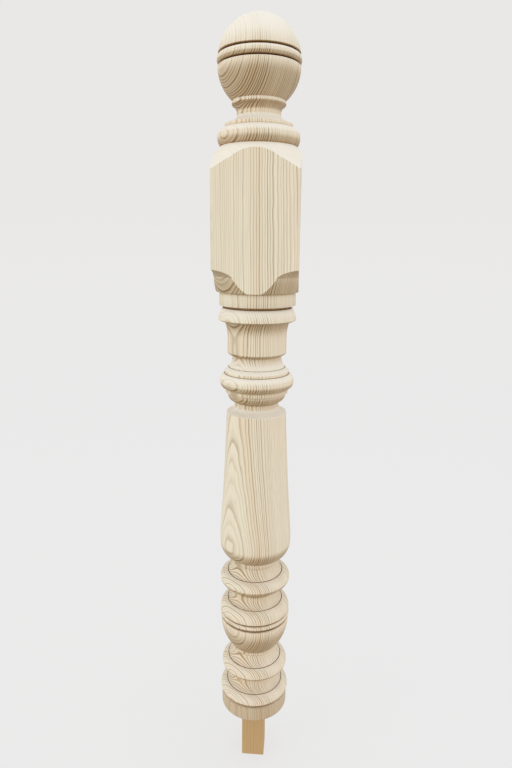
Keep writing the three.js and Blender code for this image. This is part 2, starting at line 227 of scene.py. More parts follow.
# %% Lower ring
LOWER_RING_FOOT_DIAMETER = 96.0
LOWER_RING_COVE_HEIGHT = 13.0
LOWER_RING_DIAMETER = 108.6
LOWER_RING_BELLY_HEIGHT = 6.4
LOWER_RING_CROWN_HEIGHT = 12.4
LOWER_RING_LIP_DIAMETER = 88.4
LOWER_HOLLOW_HEIGHT = 17.6
LOWER_NECK_DIAMETER = 70.0

profile.line(BASE_NECK_DIAMETER, BASE_NECK_HEIGHT)
profile.cove(LOWER_RING_FOOT_DIAMETER, LOWER_RING_COVE_HEIGHT)
profile.bead(LOWER_RING_DIAMETER, LOWER_RING_BELLY_HEIGHT, LOWER_RING_CROWN_HEIGHT,
             LOWER_RING_LIP_DIAMETER)
profile.hollow(LOWER_NECK_DIAMETER, LOWER_HOLLOW_HEIGHT)
print(f"lower ring turned up to {profile.height:.1f} mm")

# %% [markdown]
# ## Barrel and upper ring
#
# The barrel is a bowl and a shoulder with a narrow rounded band between two V grooves, the same
# motif as the ball at the top of the post. The bowl stands on a small upright fillet. The upper
# ring is broader than the lower one, and the shaft stands on it.

# %% Barrel
BOWL_FILLET_DIAMETER = 73.0
BOWL_FILLET_HEIGHT = 6.0
BOWL_FOOT_DIAMETER = 76.0
BOWL_HEIGHT = 51.2
BOWL_DIAMETER = 112.2
BARREL_DIAMETER = 113.4
BARREL_BAND_DIAMETER = 114.0
BARREL_BAND_HEIGHT = 7.4
BARREL_SHOULDER_LAND = 1.4
BARREL_SHOULDER_HEIGHT = 17.2
BARREL_LIP_DIAMETER = 90.2
BARREL_HOLLOW_HEIGHT = 12.0
BARREL_NECK_DIAMETER = 74.0
BARREL_NECK_HEIGHT = 4.0

profile.line(BOWL_FILLET_DIAMETER)
profile.line(BOWL_FILLET_DIAMETER, BOWL_FILLET_HEIGHT)
profile.line(BOWL_FOOT_DIAMETER)
profile.arrive_upright(BOWL_DIAMETER, BOWL_HEIGHT, BOWL_SWEEP)
profile.groove(BARREL_BAND_DIAMETER - 2 * BAND_PROUD)
profile.band(BARREL_BAND_DIAMETER, BARREL_BAND_HEIGHT)
profile.groove(BARREL_DIAMETER)
profile.line(BARREL_DIAMETER, BARREL_SHOULDER_LAND)
profile.leave_upright(BARREL_LIP_DIAMETER, BARREL_SHOULDER_HEIGHT, BEAD_SWEEP)
profile.hollow(BARREL_NECK_DIAMETER, BARREL_HOLLOW_HEIGHT)
print(f"barrel turned up to {profile.height:.1f} mm")

# %% Upper ring
UPPER_RING_FOOT_DIAMETER = 93.0
UPPER_RING_COVE_HEIGHT = 12.2
UPPER_RING_DIAMETER = 113.2
UPPER_RING_BELLY_HEIGHT = 11.0
UPPER_RING_CROWN_HEIGHT = 11.6
UPPER_RING_LIP_DIAMETER = 89.2
UPPER_HOLLOW_HEIGHT = 19.4
UPPER_NECK_DIAMETER = 73.0

profile.line(BARREL_NECK_DIAMETER, BARREL_NECK_HEIGHT)
profile.cove(UPPER_RING_FOOT_DIAMETER, UPPER_RING_COVE_HEIGHT)
profile.bead(UPPER_RING_DIAMETER, UPPER_RING_BELLY_HEIGHT, UPPER_RING_CROWN_HEIGHT,
             UPPER_RING_LIP_DIAMETER)
profile.hollow(UPPER_NECK_DIAMETER, UPPER_HOLLOW_HEIGHT)
print(f"upper ring turned up to {profile.height:.1f} mm")

# %% [markdown]
# ## The shaft
#
# The long stretch in the middle swells from a rounded foot and then tapers to a crisp head. A
# straight taper would look dead, so it sags by a millimetre, as a turner's long sweep with the
# gouge does. This taper is also what draws the pointed arches in the grain: it cuts slowly
# through one growth ring after another.

# %% Shaft
SHAFT_FILLET_DIAMETER = 80.0
SHAFT_FILLET_HEIGHT = 8.2
SHAFT_FOOT_DIAMETER = 83.0
SHAFT_FOOT_HEIGHT = 27.4
SHAFT_FOOT_SWEEP = 78.0
SHAFT_DIAMETER = 114.0
SHAFT_SWELL_HEIGHT = 30.0
SHAFT_SWELL_LOSS = 1.3
SHAFT_SWELL_SWEEP = 28.0
SHAFT_TAPER_HEIGHT = 185.0
SHAFT_HEAD_DIAMETER = 91.0
SHAFT_SAG = 0.95
SHAFT_SLOPE_HEIGHT = 10.4
VASE_NECK_DIAMETER = 67.0

profile.line(SHAFT_FILLET_DIAMETER)
profile.line(SHAFT_FILLET_DIAMETER, SHAFT_FILLET_HEIGHT)
profile.line(SHAFT_FOOT_DIAMETER)
profile.arrive_upright(SHAFT_DIAMETER, SHAFT_FOOT_HEIGHT, SHAFT_FOOT_SWEEP)
profile.leave_upright(SHAFT_DIAMETER - 2 * SHAFT_SWELL_LOSS, SHAFT_SWELL_HEIGHT, SHAFT_SWELL_SWEEP)
profile.bow(SHAFT_HEAD_DIAMETER, SHAFT_TAPER_HEIGHT, -SHAFT_SAG)
profile.arrive_upright(VASE_NECK_DIAMETER, SHAFT_SLOPE_HEIGHT, BELLY_SWEEP)
print(f"shaft turned up to {profile.height:.1f} mm")

# %% [markdown]
# ## Vase, cup and collar
#
# Above the shaft the mouldings come close together. There is a slim neck, a small ovolo with a
# fillet, a ring that carries a sloping step and a hollow, and a cup that flares under a
# bell-shaped flange. The flange's edge is thin and its underside nearly flat, so it throws the
# longest shadow on the post. A plain collar over an undercut groove ends the turning below the
# square block.

# %% Vase
VASE_NECK_HEIGHT = 4.4
VASE_COVE_HEIGHT = 3.4
VASE_COVE_DIAMETER = 70.0
OVOLO_FOOT_DIAMETER = 75.2
OVOLO_DIAMETER = 88.6
OVOLO_HEIGHT = 12.6
VASE_FILLET_DIAMETER = 94.4
VASE_FILLET_HEIGHT = 7.3
VASE_RING_FOOT_DIAMETER = 99.4
VASE_RING_DIAMETER = 112.0
VASE_RING_BELLY_HEIGHT = 10.6
VASE_RING_CROWN_HEIGHT = 11.6
VASE_LIP_DIAMETER = 98.2
VASE_STEP_DIAMETER = 86.0
VASE_STEP_FOOT_DIAMETER = 97.0
VASE_STEP_HEIGHT = 5.6
VASE_STEP_SLOPE = 5.4
VASE_HOLLOW_HEIGHT = 17.5
VASE_THROAT_DIAMETER = 73.0

profile.line(VASE_NECK_DIAMETER, VASE_NECK_HEIGHT)
profile.cove(VASE_COVE_DIAMETER, VASE_COVE_HEIGHT)
profile.line(OVOLO_FOOT_DIAMETER)
profile.arrive_upright(OVOLO_DIAMETER, OVOLO_HEIGHT, BEAD_SWEEP)
profile.line(VASE_FILLET_DIAMETER)
profile.line(VASE_FILLET_DIAMETER, VASE_FILLET_HEIGHT)
profile.line(VASE_RING_FOOT_DIAMETER)
profile.bead(VASE_RING_DIAMETER, VASE_RING_BELLY_HEIGHT, VASE_RING_CROWN_HEIGHT,
             VASE_LIP_DIAMETER)
profile.quirk()
profile.line(VASE_STEP_FOOT_DIAMETER, VASE_STEP_HEIGHT)
profile.line(VASE_STEP_DIAMETER, VASE_STEP_SLOPE)
profile.hollow(VASE_THROAT_DIAMETER, VASE_HOLLOW_HEIGHT, BELLY_SWEEP)
print(f"vase turned up to {profile.height:.1f} mm")

# %% Cup and flange
CUP_FOOT_DIAMETER = 79.0
CUP_ROUNDING_HEIGHT = 4.6
CUP_DIAMETER = 88.2
CUP_HEIGHT = 22.6
CUP_FLARE_HEIGHT = 22.8
CUP_FLARE_DIAMETER = 97.0
FLANGE_DIAMETER = 115.4
FLANGE_UNDERSIDE_DIAMETER = 109.0
FLANGE_UNDERSIDE_RISE = 1.0
FLANGE_BEVEL_HEIGHT = 2.0
FLANGE_EDGE_HEIGHT = 0.8
FLANGE_HEIGHT = 16.4
FLANGE_TOP_DIAMETER = 103.6
FLANGE_CROWN = 1.0

profile.line(CUP_FOOT_DIAMETER)
profile.arrive_upright(CUP_DIAMETER, CUP_ROUNDING_HEIGHT, BEAD_SWEEP)
profile.line(CUP_DIAMETER, CUP_HEIGHT)
profile.leave_upright(CUP_FLARE_DIAMETER, CUP_FLARE_HEIGHT, BELLY_SWEEP)
profile.line(FLANGE_UNDERSIDE_DIAMETER, FLANGE_UNDERSIDE_RISE)
profile.line(FLANGE_DIAMETER, FLANGE_BEVEL_HEIGHT)
profile.line(FLANGE_DIAMETER, FLANGE_EDGE_HEIGHT)
profile.bow(FLANGE_TOP_DIAMETER, FLANGE_HEIGHT, FLANGE_CROWN)
print(f"cup and flange turned up to {profile.height:.1f} mm")

# %% Collar
COLLAR_GROOVE_DIAMETER = 97.0
COLLAR_GROOVE_HEIGHT = 3.8
COLLAR_DIAMETER = 112.4
COLLAR_HEIGHT = 19.6

profile.line(COLLAR_GROOVE_DIAMETER)
profile.line(COLLAR_GROOVE_DIAMETER, COLLAR_GROOVE_HEIGHT)
profile.line(COLLAR_DIAMETER)
profile.line(COLLAR_DIAMETER, COLLAR_HEIGHT)
print(f"collar turned up to {profile.height:.1f} mm")

# %% [markdown]
# ## The block and its shoulders
#
# The block is the part of the stick that the chisel never reaches. At its two ends the turner
# cuts shoulders, which on the round would be plain cones. Where such a cone runs out through
# the flat faces of the stick it leaves an arch on each face. So the outline only has to run out
# past the corners of the stick here, and the arches come by themselves when the round body is
# cut to the square.

# %% Block shoulders
LOWER_SHOULDER_FOOT_DIAMETER = 121.4
LOWER_SHOULDER_WAIST_DIAMETER = 134.0
LOWER_SHOULDER_WAIST_HEIGHT = 20.0
LOWER_SHOULDER_FLARE_HEIGHT = 14.0
BLOCK_CORNER_HEIGHT = 122.3
UPPER_SHOULDER_FLARE_HEIGHT = 20.4
UPPER_SHOULDER_WAIST_DIAMETER = 137.0
UPPER_SHOULDER_WAIST_HEIGHT = 20.0
UPPER_SHOULDER_CROWN = 0.9
TOP_RING_FOOT_DIAMETER = 106.4
OVERCUT = 10.0
corner_diameter = math.hypot(BLANK_WIDTH, BLANK_WIDTH) + OVERCUT

profile.line(LOWER_SHOULDER_FOOT_DIAMETER)
profile.line(LOWER_SHOULDER_WAIST_DIAMETER, LOWER_SHOULDER_WAIST_HEIGHT)
profile.leave_upright(corner_diameter, LOWER_SHOULDER_FLARE_HEIGHT, BEAD_SWEEP)
profile.line(corner_diameter, BLOCK_CORNER_HEIGHT)
profile.line(UPPER_SHOULDER_WAIST_DIAMETER, UPPER_SHOULDER_FLARE_HEIGHT)
profile.bow(TOP_RING_FOOT_DIAMETER, UPPER_SHOULDER_WAIST_HEIGHT, UPPER_SHOULDER_CROWN)
print(f"block shoulders turned up to {profile.height:.1f} mm")

# %% [markdown]
# ## Top ring, neck and ball
#
# The finial is the last thing that the turner does, because it is the weakest. A ring and a
# fillet sit on the block, a deep hollow narrows to the slimmest neck of the post, and a little
# astragal carries the ball. The ball repeats the barrel's bowl, band and grooves, and is closed
# by a dome that is part of a true sphere.

# %% Top ring and neck
TOP_RING_DIAMETER = 114.6
TOP_RING_BELLY_HEIGHT = 12.6
TOP_RING_CROWN_HEIGHT = 11.3
TOP_FILLET_DIAMETER = 94.0
TOP_FILLET_HEIGHT = 5.0
TOP_HOLLOW_HEIGHT = 12.2
TOP_NECK_DIAMETER = 60.6
TOP_NECK_HEIGHT = 2.0
ASTRAGAL_COVE_HEIGHT = 9.0
ASTRAGAL_FOOT_DIAMETER = 71.0
ASTRAGAL_DIAMETER = 74.4
ASTRAGAL_BELLY_HEIGHT = 2.6
ASTRAGAL_CROWN_HEIGHT = 3.6
ASTRAGAL_TOP_DIAMETER = 72.4

profile.bead(TOP_RING_DIAMETER, TOP_RING_BELLY_HEIGHT, TOP_RING_CROWN_HEIGHT,
             TOP_FILLET_DIAMETER, BELLY_SWEEP)
profile.line(TOP_FILLET_DIAMETER, TOP_FILLET_HEIGHT)
profile.arrive_upright(TOP_NECK_DIAMETER, TOP_HOLLOW_HEIGHT, BELLY_SWEEP)
profile.line(TOP_NECK_DIAMETER, TOP_NECK_HEIGHT)
profile.cove(ASTRAGAL_FOOT_DIAMETER, ASTRAGAL_COVE_HEIGHT)
profile.arrive_upright(ASTRAGAL_DIAMETER, ASTRAGAL_BELLY_HEIGHT, BELLY_SWEEP)
profile.leave_upright(ASTRAGAL_TOP_DIAMETER, ASTRAGAL_CROWN_HEIGHT, BELLY_SWEEP)
print(f"neck turned up to {profile.height:.1f} mm")

# %% Ball
BALL_FOOT_DIAMETER = 73.0
BALL_BOWL_HEIGHT = 41.2
BALL_DIAMETER = 112.4
BALL_BAND_DIAMETER = 114.4
BALL_BAND_HEIGHT = 9.8
DOME_CENTRE_BELOW_GROOVE = 8.0

profile.line(BALL_FOOT_DIAMETER, LIP_HEIGHT)
profile.arrive_upright(BALL_DIAMETER, BALL_BOWL_HEIGHT, BOWL_SWEEP)
profile.groove(BALL_BAND_DIAMETER - 2 * BAND_PROUD)
profile.band(BALL_BAND_DIAMETER, BALL_BAND_HEIGHT)
dome_radius = BALL_DIAMETER / 2
dome_start = math.asin(DOME_CENTRE_BELOW_GROOVE / dome_radius)
profile.groove(2 * dome_radius * math.cos(dome_start))
dome_centre = profile.height - DOME_CENTRE_BELOW_GROOVE
dome_steps = math.ceil(math.degrees(math.pi / 2 - dome_start) / FINE_SWEEP)
for step in range(1, dome_steps + 1):
    angle = dome_start + (math.pi / 2 - dome_start) * step / dome_steps
    across = 0.0 if step == dome_steps else 2 * dome_radius * math.cos(angle)
    profile.add(across, dome_centre + dome_radius * math.sin(angle))
print(f"ball closed at {profile.height:.1f} mm, the frame says {POST_HEIGHT:.1f} mm")

# %% [markdown]
# ## Sanded corners
#
# No corner on the real post is knife sharp. Sandpaper on the spinning wood takes about half a
# millimetre off each outer one. A bevel on the finished body could do that, but it would also
# touch the flat faces, so the corners are eased on the outline, before it is turned: every
# sharp outer corner gets four points on a small curve. Inner corners, such as the bottoms of
# the grooves, stay as the chisel left them.

# %% Ease the outer corners of the outline
EASE = 0.6
EASE_STEPS = 3
SHARP_TURN = math.radians(20)
LONGEST_SHARE = 0.4


def eased(points):
    """The same outline with a small curve in place of each sharp outer corner."""
    result = [Vector(points[0])]
    for before, corner, after in zip(points, points[1:], points[2:]):
        here = Vector(corner)
        back = Vector(before) - here
        ahead = Vector(after) - here
        turn = (-back).angle_signed(ahead)
        if turn > -SHARP_TURN:
            result.append(here)
            continue
        start = here + back.normalized() * min(EASE, back.length * LONGEST_SHARE)
        end = here + ahead.normalized() * min(EASE, ahead.length * LONGEST_SHARE)
        for step in range(EASE_STEPS + 1):
            share = step / EASE_STEPS
            result.append(start.lerp(here, share).lerp(here.lerp(end, share), share))
    result.append(Vector(points[-1]))
    return result


outline = eased(profile.points)
print(f"{len(profile.points)} drawn points, {len(outline)} after easing")

# %% [markdown]
# ## Turning the body
#
# In Blender the Spin tool is the lathe. One vertex is extruded from point to point up the
# outline, as a pencil draws it, and the whole line is then spun once round the Z axis. A Screw
# modifier would do the same, but Spin leaves a real mesh at once. After a full turn the seam
# and the two ends on the axis lie double, so doubles are merged, and only then are the normals
# turned outwards.

# %% Helpers for starting a piece and for cutting one with another
MERGE_DISTANCE = 0.000004


def start_alone():
    """Leave edit mode and deselect everything, so that the next operator acts on its own piece."""
    if bpy.context.object and bpy.context.object.mode != "OBJECT":
        bpy.ops.object.mode_set(mode="OBJECT")
    bpy.ops.object.select_all(action="DESELECT")


def name_piece(name):
    """Name the active object and its mesh, and hand it back in object mode."""
    bpy.ops.object.mode_set(mode="OBJECT")
    piece = bpy.context.object
    piece.name = name
    piece.data.name = name
    return piece


def cut(piece, tool, operation):
    """Apply a Boolean of the tool to the piece, and throw the tool away."""
    start_alone()
    bpy.context.view_layer.objects.active = piece
    piece.select_set(True)
    bpy.ops.object.modifier_add(type="BOOLEAN")
    boolean = piece.modifiers[-1]
    boolean.operation = operation
    boolean.solver = "EXACT"
    boolean.object = tool
    bpy.ops.object.modifier_apply(modifier=boolean.name)
    bpy.data.objects.remove(tool)


print("helpers ready")

# %% Draw the outline and spin it
SPIN_STEPS = 144

start_alone()
bpy.ops.mesh.primitive_plane_add(size=MM, location=(0, 0, 0))
bpy.ops.object.mode_set(mode="EDIT")
bpy.ops.mesh.select_all(action="SELECT")
bpy.ops.mesh.merge(type="CENTER")
for before, after in zip(outline, outline[1:]):
    across, upward = (after - before) * MM
    bpy.ops.mesh.extrude_region_move(TRANSFORM_OT_translate={"value": (across, 0, upward)})
bpy.ops.mesh.select_all(action="SELECT")
bpy.ops.mesh.spin(steps=SPIN_STEPS, angle=math.tau, center=(0, 0, 0), axis=(0, 0, 1))
bpy.ops.mesh.select_all(action="SELECT")
bpy.ops.mesh.remove_doubles(threshold=MERGE_DISTANCE)
bpy.ops.mesh.normals_make_consistent(inside=False)
post = name_piece("newel_turned_post")
print(f"spun body: {len(post.data.polygons)} faces")

# %% [markdown]
# ## Cutting the body to the stick
#
# The stick itself is a long box whose four upright edges are planed off. The spun body is
# intersected with it, and every place where the outline ran out past the wood is cut flat. On
# the lathe it happens the other way about, square stick first, and the arches are the same.

# %% The square stick
BLANK_ARRIS = 3.5
ARRIS_EASE = 0.35
EASE_SEGMENTS = 2
UPRIGHT_SLOPE = 10


def square_stick(width, arris, bottom, top, ease=0.0):
    """An upright square stick, in millimetres, with its four long edges planed off."""
    start_alone()
    bpy.ops.mesh.primitive_cube_add(size=1, location=(0, 0, 0))
    bpy.ops.object.mode_set(mode="EDIT")
    bpy.ops.transform.resize(value=(width * MM, width * MM, (top - bottom) * MM))
    bpy.ops.transform.translate(value=(0, 0, (top + bottom) / 2 * MM))
    select_upright_edges(bpy.context.object)
    bpy.ops.mesh.bevel(offset=arris * MM, segments=1)
    if ease:
        select_upright_edges(bpy.context.object)
        bpy.ops.mesh.bevel(offset=ease * MM, segments=EASE_SEGMENTS)
    return name_piece("square_stick")


def select_upright_edges(stick):
    """Select the edges that run along Z, and nothing else."""
    bpy.ops.mesh.select_all(action="DESELECT")
    bpy.ops.mesh.select_mode(type="EDGE")
    bpy.ops.object.mode_set(mode="OBJECT")
    for edge in stick.data.edges:
        start, end = (stick.data.vertices[index].co for index in edge.vertices)
        across = math.hypot(end.x - start.x, end.y - start.y)
        edge.select = abs(end.z - start.z) > UPRIGHT_SLOPE * across
    bpy.ops.object.mode_set(mode="EDIT")


blank = square_stick(BLANK_WIDTH, BLANK_ARRIS, -OVERCUT, POST_HEIGHT + OVERCUT, ARRIS_EASE)
print(f"blank: {len(blank.data.polygons)} faces")
cut(post, blank, "INTERSECT")
print(f"post cut to the blank: {len(post.data.polygons)} faces")

# %% [markdown]
# ## The mortise and the peg
#
# The peg is a plain sawn stick. It stands in a square hole in the post's underside with a
# little room for glue, so the hole is cut by a stick of its own, as wide as the peg and that
# much more. Its long edges are only just broken with a plane, and its end is sawn off.

# %% Mortise
PEG_ARRIS = 1.0
PEG_CLEARANCE = 0.3

mortise = square_stick(PEG_WIDTH + 2 * PEG_CLEARANCE, PEG_ARRIS, -OVERCUT, PEG_TOP + PEG_CLEARANCE)
cut(post, mortise, "DIFFERENCE")
print(f"post with its mortise: {len(post.data.polygons)} faces")

# %% Peg
PEG_ARRIS_EASE = 0.25
PEG_END_BREAK = 0.6
SAME_HEIGHT = 0.01

peg = square_stick(PEG_WIDTH, PEG_ARRIS, PEG_BOTTOM, PEG_TOP, PEG_ARRIS_EASE)
peg.name = "newel_floor_peg"
peg.data.name = "newel_floor_peg"
bpy.ops.object.mode_set(mode="EDIT")
bpy.ops.mesh.select_all(action="DESELECT")
bpy.ops.object.mode_set(mode="OBJECT")
for edge in peg.data.edges:
    heights = [peg.data.vertices[index].co.z / MM for index in edge.vertices]
    edge.select = all(abs(height - PEG_BOTTOM) < SAME_HEIGHT for height in heights)
bpy.ops.object.mode_set(mode="EDIT")
bpy.ops.mesh.bevel(offset=PEG_END_BREAK * MM, segments=EASE_SEGMENTS)
bpy.ops.object.mode_set(mode="OBJECT")
print(f"peg: {len(peg.data.polygons)} faces")

# %% [markdown]
# ## Smooth and sharp
#
# The turned curves are cut so finely that nearly all neighbouring faces meet at less than
# thirteen degrees, while a real corner turns further than that. So one angle tells them apart:
# below it the shading is smooth, above it the edge stays crisp.

# %% Shade smooth by angle
SMOOTH_ANGLE = math.radians(13)

for piece in (post, peg):
    start_alone()
    bpy.context.view_layer.objects.active = piece
    piece.select_set(True)
    bpy.ops.object.shade_smooth_by_angle(angle=SMOOTH_ANGLE)
    print(piece.name, "shaded")

# %% [markdown]
# ## Who stands for what
#
# Each modelled piece takes the place of its plain solid in the frame, and rides on the
# part's one body.

# %% Tie the pieces to the frame
for piece, node, slot in ((post, "turned_post", "sanded_pine"), (peg, "floor_peg", "sawn_pine")):
    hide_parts(node)
    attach(piece, "root")
    print(piece.name, "stands for", node)

# %% [markdown]
# ## Helpers for materials
#
# A wood material needs dozens of nodes. One small function adds a node, sets it and links it,
# and a few more name the things that are done again and again, so that the cells below read
# like a recipe. Colours are picked as sRGB hex values, as a picture shows them, while shaders
# mix light, which is linear, so one function converts them.

# %% Node and colour helpers
def linear(code):
    """An sRGB hex colour as linear red, green, blue and alpha."""
    channels = [int(code[start:start + 2], 16) / 255 for start in (1, 3, 5)]
    values = [c / 12.92 if c <= 0.04045 else ((c + 0.055) / 1.055) ** 2.4 for c in channels]
    return (*values, 1.0)


def add(tree, kind, inputs=None, **settings):
    """Add a node. Each input is given a value, or the socket that feeds it."""
    made = tree.nodes.new(kind)
    for name, value in settings.items():
        setattr(made, name, value)
    for name, value in (inputs or {}).items():
        if isinstance(value, bpy.types.NodeSocket):
            tree.links.new(value, made.inputs[name])
        else:
            made.inputs[name].default_value = value
    return made


def set_stops(ramp, stops):
    """Give a colour ramp its stops, as pairs of place and colour or grey."""
    while len(ramp.color_ramp.elements) < len(stops):
        ramp.color_ramp.elements.new(1.0)
    for element, (place, tone) in zip(ramp.color_ramp.elements, stops):
        element.position = place
        element.color = linear(tone) if isinstance(tone, str) else (tone, tone, tone, 1.0)


print("the middle grey #808080 is", [round(value, 3) for value in linear("#808080")])


# %% Helpers that change numbers and mix colours
SMOOTH_DETAIL = 1.0


def maths(tree, operation, *values):
    """A Math node on one, two or three numbers."""
    return add(tree, "ShaderNodeMath", dict(enumerate(values)), operation=operation).outputs[0]


def vectors(tree, operation, *values):
    """A Vector Math node. It gives a vector, or a number where the operation has none."""
    made = add(tree, "ShaderNodeVectorMath", dict(enumerate(values)), operation=operation)
    return made.outputs["Value" if operation in ("LENGTH", "DOT_PRODUCT") else "Vector"]


def height_of(tree, vector):
    """The Z of a vector."""
    return add(tree, "ShaderNodeSeparateXYZ", {0: vector}).outputs["Z"]


def blend(tree, value, reach, low=0.0, high=1.0):
    """A smooth change from low to high while the value goes through its reach."""
    made = add(tree, "ShaderNodeMapRange", {
        "Value": value, "From Min": reach[0], "From Max": reach[1], "To Min": low, "To Max": high},
        interpolation_type="SMOOTHSTEP")
    return made.outputs[0]


def mix(tree, share, first, second, blend_type="MIX"):
    """Two colours mixed by a share."""
    made = add(tree, "ShaderNodeMix", {"Factor": share, 6: first, 7: second},
               data_type="RGBA", blend_type=blend_type)
    return made.outputs[2]


def ramp_of(tree, value, stops):
    """A colour ramp read at a value."""
    ramp = add(tree, "ShaderNodeValToRGB", {"Fac": value})
    set_stops(ramp, stops)
    return ramp.outputs["Color"]


def noise(tree, place, stretch, detail=SMOOTH_DETAIL, seed=0.0):
    """Noise whose lumps are as many to a metre as the stretch says, along X, Y and Z."""
    spot = add(tree, "ShaderNodeMapping", {"Vector": place, "Scale": stretch,
                                           "Location": (seed, 0, 0)})
    made = add(tree, "ShaderNodeTexNoise", {"Vector": spot.outputs[0], "Scale": 1.0,
                                            "Detail": detail})
    return made.outputs["Fac"]


print("mixing helpers ready")

# %% [markdown]
# ## What pine looks like
#
# A pine trunk adds one ring a year: a broad pale band of early wood that darkens into a thin
# brown line of late wood, and then starts again abruptly. A board shows whatever its surface
# cuts of those rings. So the rings aren't painted on: they are made in space, as distances from
# the heart of the tree, and the turned shapes cut them. The long taper then shows pointed
# arches, each bead an eye, and the flat face straight lines.
#
# The heart of this stick's tree lies well behind the post and to its right, outside the wood,
# so the eyes and arches show on the front left, where the surface is a tangent to the rings.
# The stick wasn't sawn quite parallel to the heart, so the eyes drift round the post towards
# the top. The trunk also had a crook where the ball was turned, which puts the ball's eye at
# its left edge. Rings also get narrower as a tree ages.

# %% Where the heart of the post's tree lies
HEART_DISTANCE = 350.0
HEART_TURN = math.radians(46)
HEART_LEAN = 80.0
MIDDLE_HEIGHT = 600.0
CROOK_HEIGHT = 930.0
CROOK_LEAN = 700.0
heart_side = Vector((math.sin(HEART_TURN), math.cos(HEART_TURN), 0.0))
heart_lean = Vector((math.cos(HEART_TURN), -math.sin(HEART_TURN), 0.0)) * HEART_LEAN * MM
heart_foot = heart_side * HEART_DISTANCE * MM - heart_lean * MIDDLE_HEIGHT * MM
heart_crook = heart_lean * CROOK_LEAN / HEART_LEAN
print("heart of the tree at floor level:", [round(value, 3) for value in heart_foot])

# %% [markdown]
# The distance from the heart is swayed by noise at three sizes, because no trunk is a true
# cylinder. If a ring's width shrinks evenly with the distance, the ring's number is a logarithm
# of the distance. The whole part of that number says which year it is and the fraction says
# which season.

# %% Growth rings as a pattern in space
SWAYS = (((7, 7, 2.4), 1.0), ((45, 45, 26), 0.22), ((160, 160, 70), 0.06))
GOOD_YEARS = 0.31
UNEVEN = 1.2


def growth_rings(tree, place, heart, widths, wander, seed):
    """Nodes that turn a place into its direction and distance from the heart, season and year.

    heart is (its foot, its lean, its lean above the crook), and widths are (a ring's width at
    the heart, how much narrower each millimetre makes it)."""
    height = height_of(tree, place)
    flat = vectors(tree, "MULTIPLY", place, (1, 1, 0))
    above_crook = maths(tree, "MAXIMUM", maths(tree, "SUBTRACT", height, CROOK_HEIGHT * MM), 0.0)
    straight = vectors(tree, "MULTIPLY_ADD", height, heart[1], heart[0])
    crooked = vectors(tree, "MULTIPLY_ADD", above_crook, heart[2], straight)
    from_heart = vectors(tree, "SUBTRACT", flat, crooked)
    radius = vectors(tree, "LENGTH", from_heart)
    for stretch, share in SWAYS:
        sway = noise(tree, place, stretch, seed=seed)
        radius = maths(tree, "MULTIPLY_ADD", sway, share * wander * MM, radius)

    width = maths(tree, "MULTIPLY_ADD", radius, -widths[1] / MM, widths[0])
    years = maths(tree, "MULTIPLY", maths(tree, "LOGARITHM", width, math.e), -1 / widths[1])
    good_years = add(tree, "ShaderNodeTexNoise", {
        "W": years, "Scale": GOOD_YEARS, "Detail": SMOOTH_DETAIL}, noise_dimensions="1D")
    uneven = maths(tree, "MULTIPLY_ADD", good_years.outputs["Fac"], UNEVEN, years)
    season = maths(tree, "FRACT", uneven)
    weather = add(tree, "ShaderNodeTexWhiteNoise", {"W": maths(tree, "FLOOR", uneven)},
                  noise_dimensions="1D").outputs["Value"]
    return vectors(tree, "NORMALIZE", from_heart), radius, season, weather


def by_radius(tree, radius, stops):
    """A tone that depends on the distance from the heart, as pairs of millimetres and tone."""
    nearest = stops[0][0]
    span = stops[-1][0] - nearest
    share = maths(tree, "MULTIPLY_ADD", radius, 1 / (span * MM), -nearest / span)
    return ramp_of(tree, share, [((reach - nearest) / span, tone) for reach, tone in stops])


print("growth rings can be drawn")

# %% [markdown]
# ## Sanded pine
#
# The post is redwood, a pine that is nearly white when it is freshly sanded. Its late wood is
# strongest in one group of rings in the middle of the front face and faint towards the bark.
# Three things decide how strongly a ring shows. Some years made more late wood than others.
# On the mouldings the curve cuts across the fibres, and their open ends make the line darker,
# most of all underneath, where the chisel leaves them rough. And where the surface stands
# square to the rings it only shows their narrow edges, so the right side of the shaft and of
# the ball is nearly plain.

# %% How strongly the rings show
LATE_WOOD = [(0.0, 0.25), (0.07, 0.0), (0.4, 0.03), (0.68, 0.35),
             (0.88, 1.0), (0.96, 0.9), (1.0, 0.25)]
POOR_YEAR = 0.4
EDGE_ON = 0.35
EDGE_TO_FACE = (0.15, 0.5)
ROUGH_END_GRAIN = 3.6
UPRIGHT_TO_DOWN = (0.03, 0.5)
END_GRAIN = 1.9
UPRIGHT_TO_UP = (0.05, 0.5)


def late_wood(tree, facing, outward, season, weather, strength):
    """How much late wood shows at a place, from none to all."""
    line = ramp_of(tree, season, LATE_WOOD)
    year = blend(tree, weather, (0.0, 1.0), POOR_YEAR, 1.0)
    towards = maths(tree, "ABSOLUTE", vectors(tree, "DOT_PRODUCT", facing, outward))
    broad = blend(tree, towards, EDGE_TO_FACE, EDGE_ON, 1.0)
    upward = height_of(tree, facing)
    downward = maths(tree, "MULTIPLY", upward, -1.0)
    rough = blend(tree, downward, UPRIGHT_TO_DOWN, 1.0, ROUGH_END_GRAIN)
    grain = maths(tree, "MAXIMUM", rough, blend(tree, upward, UPRIGHT_TO_UP, 1.0, END_GRAIN))
    shown = maths(tree, "MULTIPLY", maths(tree, "MULTIPLY", year, strength),
                  maths(tree, "MULTIPLY", broad, grain))
    return maths(tree, "MINIMUM", maths(tree, "MULTIPLY", line, shown), 1.0)


print("late wood can be drawn")
